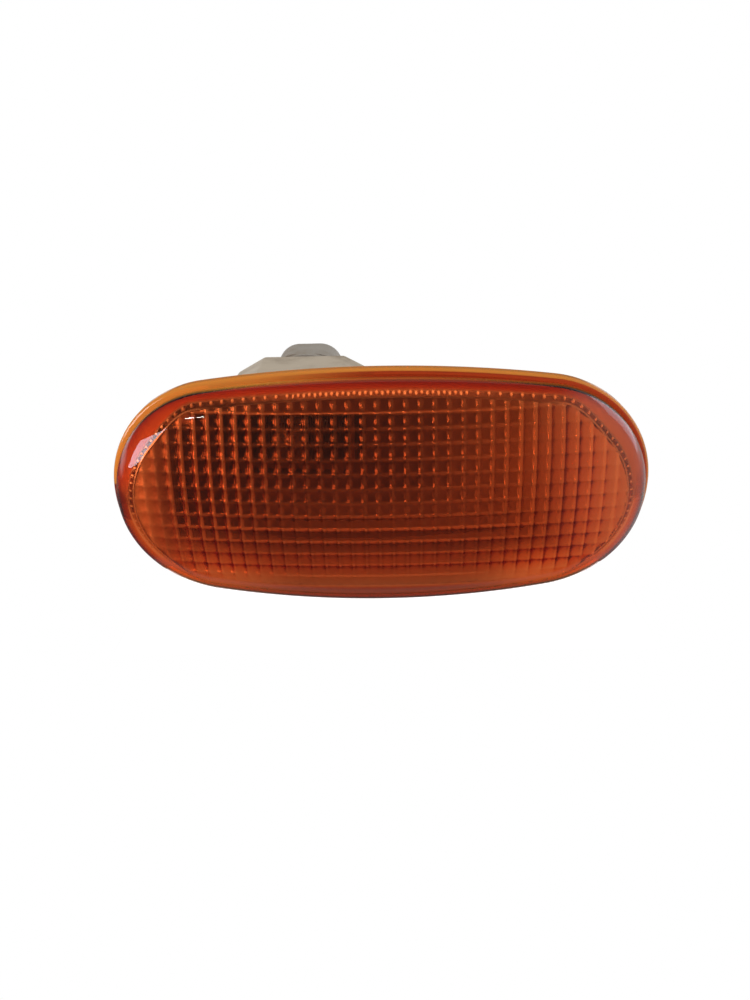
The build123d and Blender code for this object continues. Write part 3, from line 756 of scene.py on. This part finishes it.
def amber_acrylic(lens):
    """Clear amber moulding: colour grows with the depth of material that the light crosses.

    The rim has its own tints under a film that lets through less light, partly a painted glow on the flange
    band. It is darker at the bottom and has a painted shadow beside the hook. A soft metallic finish paints a
    glow on the wall at the weld, glints on the beads and highlights along the optic's valleys.
    """
    material, tree, shader, output = new_material("amber_acrylic")
    shader.inputs["IOR"].default_value = lens.bend
    x, _, z = axes_of(tree, "Object")
    flange = attribute(tree, "flange_mark")
    # Painted shadow of the hook beside the rim's left end, and a darker rim towards the bottom
    from_hook = magnitude(tree, sums(tree, "ADD", z, HOOK_DROP))
    hook_shadow = product(tree, smooth(tree, from_hook, *HOOK_HALF), smooth(tree, x, *HOOK_END))
    dull = largest(tree, smooth(tree, z, *DARK_BOTTOM), hook_shadow)
    to_right = product(tree, smooth(tree, x, *DEEP_RIM), attribute(tree, "front_mark"))
    rim = mixed(tree, to_right, lens.rim_amber, lens.rim_deep)
    # Painted glow: a metallic tint on the inner wall by the weld, paler at the right
    to_beads = smooth(tree, attribute(tree, "from_beads"), *GLOW_TO_BEADS)
    wall = product(tree, smooth(tree, attribute(tree, "inset"), *GLOW_WALL), to_beads)
    weld = product(tree, wall, smooth(tree, z, *GLOW_UPPER))
    wall_glow_tint = mixed(tree, smooth(tree, x, *PALE_GLOW), lens.weld, lens.pale_wall_glow)
    bare = mixed(tree, weld, lens.clear, wall_glow_tint)
    filmed = smooth(tree, flange, *FILM_START)
    tint = mixed(tree, filmed, bare, mixed(tree, dull, rim, lens.rim_dark_and_shadow))
    tree.links.new(tint, shader.inputs["Base Color"])
    # Less light passes under the film, so the rim's tint shows as a partly painted glow on the flange band
    tree.links.new(level(tree, flange, *FILM_CLEAR), shader.inputs["Transmission Weight"])
    # Painted highlights, glints and glow: the metallic marks on the valleys, the beads and the wall
    bright = largest(tree, painted_valley_highlights(tree, lens), largest(tree, painted_bead_glints(tree, lens), weld))
    tree.links.new(bright, shader.inputs["Metallic"])
    fine = level(tree, noise(tree, scale=260.0, detail=4.0), *FINE_ROUGHNESS)
    left_end = product(tree, smooth(tree, x, *SOFT_LEFT), attribute(tree, "optic_mark"))
    soft = largest(tree, level(tree, left_end, *SOFT_LEFT_LEVELS), level(tree, weld, *SOFT_GLOW_LEVELS))
    matt = product(tree, smooth(tree, bright, *MATT_START), soft)
    tree.links.new(sums(tree, "ADD", fine, matt), shader.inputs["Roughness"])
    grain(tree, shader, noise(tree, scale=420.0, detail=2.0), strength=0.05, distance=0.00002)
    body = tree.nodes.new("ShaderNodeVolumeAbsorption")
    body.inputs["Color"].default_value = (*lens.amber, 1.0)
    body.inputs["Density"].default_value = lens.depth
    tree.links.new(body.outputs["Volume"], output.inputs["Volume"])
    return material


def moulded_plastic(name, colour, soil, roughness, patch_scale):
    """Satin moulding: its colour drifts a little, dirt lies in patches and the surface has a fine grain."""
    material, tree, shader, _ = new_material(name)
    pale = tuple(min(1.0, PALE_SHARE * c) for c in colour)
    worn = tuple(WORN_SHARE * c + (1 - WORN_SHARE) * s for c, s in zip(colour, soil))
    patches = noise(tree, patch_scale, detail=6.0, roughness=0.62)
    stops = tuple(zip(PATCH_STOPS, (soil, worn, colour, pale)))
    tree.links.new(ramp(tree, patches, stops), shader.inputs["Base Color"])
    finish = level(tree, patches, *(roughness + change for change in PATCH_ROUGHNESS))
    tree.links.new(finish, shader.inputs["Roughness"])
    grain(tree, shader, noise(tree, scale=2600.0, detail=2.0), strength=0.25, distance=0.00004)
    return material, tree, shader


def painted_chamber_shade(tree, shader, finish):
    """Painted shade inside the housing: darkest behind the bulb, less towards the ends.

    The painted shade lies on what faces the lens and in the bulb chamber, and grows with the depth behind the
    seat. It is weaker low down. The upper edge of the pan stays pale, a painted highlight.
    """
    x, y, z = axes_of(tree, "Object")
    face_x, face_y, face_z = axes_of(tree, "Normal")
    from_bulb = sums(tree, "SUBTRACT", x, finish.bulb_x)
    over_bulb = sums(tree, "SUBTRACT", z, finish.bulb_z)
    outward = sums(tree, "ADD", product(tree, face_x, from_bulb), product(tree, face_z, over_bulb))
    away = magnitude(tree, from_bulb)
    up = magnitude(tree, over_bulb)
    near_bulb = product(tree, smooth(tree, away, *CHAMBER_WIDTH), smooth(tree, up, *CHAMBER_HEIGHT))
    in_chamber = product(tree, near_bulb, smooth(tree, outward, *INWARD))
    to_lens = smooth(tree, face_y, *TO_LENS)
    inside = largest(tree, in_chamber, to_lens)
    deep = level(tree, smooth(tree, y, *SHADE_DEPTH), *SHADE_DEPTH_LEVELS)
    near = product(tree, smooth(tree, away, *SHADE_REACH), smooth(tree, z, *SHADE_TOP))
    from_edge = magnitude(tree, sums(tree, "SUBTRACT", z, finish.pan_top))
    # Painted highlight: the pan's upper edge near the seat is kept pale
    edge_highlight = product(tree, smooth(tree, from_edge, *HIGHLIGHT_EDGE), smooth(tree, y, *HIGHLIGHT_FRONT))
    kept = sums(tree, "SUBTRACT", 1.0, product(tree, edge_highlight, to_lens))
    high = level(tree, smooth(tree, z, *SHADE_HEIGHT), *SHADE_HEIGHT_LEVELS)
    # Painted shade: darker with depth behind the seat, near the bulb chamber, weaker low down
    painted_shade = product(tree, inside, deep, product(tree, near, kept), high)
    outside = shader.inputs["Base Color"].links[0].from_socket
    # The inside's own colour, under the painted shade
    clean = mixed(tree, inside, outside, finish.inside)
    tree.links.new(mixed(tree, painted_shade, clean, finish.painted_shade), shader.inputs["Base Color"])


def soft_rubber(colour):
    """Matt black rubber with a chalky bloom."""
    material, tree, shader, _ = new_material("seal_rubber")
    bloom = tuple(RUBBER_BLOOM * c for c in colour)
    tint = ramp(tree, noise(tree, scale=900.0, detail=4.0), tuple(zip(BLOOM_STOPS, (colour, bloom))))
    tree.links.new(tint, shader.inputs["Base Color"])
    shader.inputs["Roughness"].default_value = 0.75
    grain(tree, shader, noise(tree, scale=5200.0), strength=0.3, distance=0.00003)
    return material


def drawn_metal(name, colour, roughness, tarnish):
    """Metal with tarnish in patches and fine drawing marks."""
    material, tree, shader, _ = new_material(name)
    dull = tuple(tarnish * c for c in colour)
    tint = ramp(tree, noise(tree, scale=700.0, detail=5.0), tuple(zip(TARNISH_STOPS, (dull, colour))))
    tree.links.new(tint, shader.inputs["Base Color"])
    shader.inputs["Metallic"].default_value = 1.0
    marks = noise(tree, scale=1800.0, detail=3.0)
    finish = level(tree, marks, roughness, roughness + DRAWN_ROUGHNESS)
    tree.links.new(finish, shader.inputs["Roughness"])
    return material


def bulb_clear():
    """Clear bulb glass with a faint ripple."""
    material, tree, shader, _ = new_material("bulb_clear")
    shader.inputs["Base Color"].default_value = (0.97, 0.98, 0.98, 1.0)
    shader.inputs["Transmission Weight"].default_value = 1.0
    shader.inputs["IOR"].default_value = 1.5
    shader.inputs["Roughness"].default_value = 0.02
    grain(tree, shader, noise(tree, scale=300.0, detail=1.0), strength=0.08, distance=0.00005)
    return material


def dress(node, material):
    """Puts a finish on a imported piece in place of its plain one."""
    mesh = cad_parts[node].data
    mesh.materials.clear()
    mesh.materials.append(material)


class LAMP_OT_lens(bpy.types.Operator):
    """Make the amber lens with its pillow optic"""

    bl_idname = "lamp.lens"
    bl_label = "Make Lens"

    def execute(self, context):
        lens = context.scene.lamp_lens
        piece = bpy.data.objects.new("amber_lens", lens_mesh(lens, context.scene.lamp_stage))
        context.scene.collection.objects.link(piece)
        piece.data.materials.append(amber_acrylic(lens))
        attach(piece, "lamp")
        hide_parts("lens")
        return {"FINISHED"}


class LAMP_OT_housing(bpy.types.Operator):
    """Finish the off-white housing"""

    bl_idname = "lamp.housing"
    bl_label = "Finish Housing"

    def execute(self, context):
        finish = context.scene.lamp_finish
        material, tree, shader = moulded_plastic(
            "housing_moulding", finish.housing, finish.grime, roughness=0.5, patch_scale=150.0
        )
        # Painted shade inside the housing
        painted_chamber_shade(tree, shader, finish)
        dress("housing", material)
        return {"FINISHED"}


class LAMP_OT_holder(bpy.types.Operator):
    """Finish the bulb holder and its seal"""

    bl_idname = "lamp.holder"
    bl_label = "Finish Bulb Holder"

    def execute(self, context):
        finish = context.scene.lamp_finish
        grey, _, _ = moulded_plastic(
            "holder_moulding", finish.holder, finish.grime, roughness=0.55, patch_scale=90.0
        )
        dress("bulb_holder", grey)
        dress("holder_seal", soft_rubber(finish.seal))
        return {"FINISHED"}


class LAMP_OT_bulb(bpy.types.Operator):
    """Finish the contacts and the bulb"""

    bl_idname = "lamp.bulb"
    bl_label = "Finish Contacts and Bulb"

    def execute(self, context):
        finish = context.scene.lamp_finish
        strip = drawn_metal("contact_brass", finish.brass, roughness=0.28, tarnish=0.6)
        dress("contact_upper", strip)
        dress("contact_lower", strip)
        dress("bulb_glass", bulb_clear())
        dress("bulb_wires", drawn_metal("lead_wire", finish.steel, roughness=0.3, tarnish=0.7))
        dress("bulb_filament", drawn_metal("filament_wire", finish.tungsten, roughness=0.4, tarnish=0.8))
        return {"FINISHED"}


class LAMP_OT_stage(bpy.types.Operator):
    """Set the floor, the light and the camera"""

    bl_idname = "lamp.stage"
    bl_label = "Set Stage"

    def execute(self, context):
        scene = context.scene
        stage = scene.lamp_stage
        scene.view_settings.view_transform = "Standard"
        add_floor(scene, stage)
        add_light(scene)
        add_camera(scene, stage)
        return {"FINISHED"}


def shown_ray(tree):
    """1 for the rays that show the background: camera, mirror and glass rays."""
    path = tree.nodes.new("ShaderNodeLightPath")
    rays = ("Is Camera Ray", "Is Glossy Ray", "Is Transmission Ray")
    return largest(tree, *(path.outputs[ray] for ray in rays))


def add_floor(scene, stage):
    """Pale plain floor under the back of the lamp. It keeps the shadow."""
    front, back = FLOOR_DEPTH
    drop = stage.floor_drop
    corners = [
        (-FLOOR_HALF, front, drop), (FLOOR_HALF, front, drop),
        (FLOOR_HALF, back, drop), (-FLOOR_HALF, back, drop),
    ]
    mesh = bpy.data.meshes.new("floor")
    mesh.from_pydata(corners, [], [(0, 1, 2, 3)])
    floor = bpy.data.objects.new("floor", mesh)
    scene.collection.objects.link(floor)
    material, tree, shader, _ = new_material("floor_white")
    shader.inputs["Base Color"].default_value = (0.86, 0.86, 0.86, 1.0)
    shader.inputs["Roughness"].default_value = 0.9
    shader.inputs["Emission Color"].default_value = (*WHITE, 1.0)
    tree.links.new(level(tree, shown_ray(tree), 0.0, FLOOR_GLOW), shader.inputs["Emission Strength"])
    mesh.materials.append(material)


def add_light(scene):
    """Pale room light, a large lamp overhead, a window on each side and a small lamp.

    The camera, the pieces and what is seen through glass get the pale world. A mirror ray sees a dim room,
    paler to the right, with white paper low behind the lamp.
    """
    world = bpy.data.worlds.new("room")
    scene.world = world
    world.use_nodes = True
    tree = world.node_tree
    background = next(n for n in tree.nodes if n.type == "BACKGROUND")
    x, y, z = axes_of(tree, "Generated")
    under = product(tree, smooth(tree, z, *PAPER_TOP), smooth(tree, z, *PAPER_BOTTOM))
    paper = product(tree, smooth(tree, y, *PAPER_BACK), under)
    path = tree.nodes.new("ShaderNodeLightPath")
    unmirrored = largest(
        tree, path.outputs["Is Transmission Ray"], sums(tree, "SUBTRACT", 1.0, path.outputs["Is Glossy Ray"])
    )
    lit = level(tree, path.outputs["Is Camera Ray"], *WORLD_LEVELS)
    room = level(tree, smooth(tree, x, *PALE_SIDE), *ROOM_LEVELS)
    strength = largest(tree, paper, product(tree, unmirrored, lit), room)
    tree.links.new(strength, background.inputs["Strength"])
    background.inputs["Color"].default_value = (*WHITE, 1.0)
    for name, spot, target, width, height, power, colour in LAMPS:
        data = bpy.data.lights.new(name, "AREA")
        data.shape = "RECTANGLE"
        data.size = width
        data.size_y = height
        data.energy = power
        data.color = colour
        lamp = bpy.data.objects.new(name, data)
        scene.collection.objects.link(lamp)
        lamp.location = spot
        lamp.visible_glossy = name != "overhead"
        lamp.rotation_euler = (Vector(target) - Vector(spot)).to_track_quat("-Z", "Y").to_euler()


def add_camera(scene, stage):
    """Camera at an azimuth, elevation and roll about its target, with the sensor along the frame's height."""
    azimuth, elevation, roll = stage.camera_azimuth, stage.camera_elevation, stage.camera_roll
    back = Vector((
        math.sin(azimuth) * math.cos(elevation),
        -math.cos(azimuth) * math.cos(elevation),
        math.sin(elevation),
    ))
    level_right = Vector((math.cos(azimuth), math.sin(azimuth), 0.0))
    level_up = back.cross(level_right)
    right = math.cos(roll) * level_right + math.sin(roll) * level_up
    up = math.cos(roll) * level_up - math.sin(roll) * level_right
    data = bpy.data.cameras.new("camera")
    data.lens = FOCAL_LENGTH
    data.sensor_width = SENSOR
    data.clip_start = NEAREST
    camera = bpy.data.objects.new("camera", data)
    scene.collection.objects.link(camera)
    turn = Matrix((right, up, back)).transposed().to_4x4()
    spot = Vector(stage.camera_target) + stage.camera_distance * back
    camera.matrix_world = Matrix.Translation(spot) @ turn
    scene.camera = camera


class LAMP_PT_panel(bpy.types.Panel):
    """Lists the lamp's operators"""

    bl_idname = "LAMP_PT_panel"
    bl_label = "Side Repeater Lamp"
    bl_space_type = "VIEW_3D"
    bl_region_type = "UI"
    bl_category = "Lamp"

    def draw(self, context):
        for operator in OPERATORS:
            self.layout.operator(operator.bl_idname)


OPERATORS = (LAMP_OT_lens, LAMP_OT_housing, LAMP_OT_holder, LAMP_OT_bulb, LAMP_OT_stage)
CLASSES = (LampLensSettings, LampFinishSettings, LampStageSettings, *OPERATORS, LAMP_PT_panel)


def register():
    for each in CLASSES:
        bpy.utils.register_class(each)
    bpy.types.Scene.lamp_lens = PointerProperty(type=LampLensSettings)
    bpy.types.Scene.lamp_finish = PointerProperty(type=LampFinishSettings)
    bpy.types.Scene.lamp_stage = PointerProperty(type=LampStageSettings)


def unregister():
    del bpy.types.Scene.lamp_stage
    del bpy.types.Scene.lamp_finish
    del bpy.types.Scene.lamp_lens
    for each in reversed(CLASSES):
        bpy.utils.unregister_class(each)


def main():
    register()
    bpy.ops.lamp.lens()
    bpy.ops.lamp.housing()
    bpy.ops.lamp.holder()
    bpy.ops.lamp.bulb()
    bpy.ops.lamp.stage()


if __name__ == "__main__":
    main()
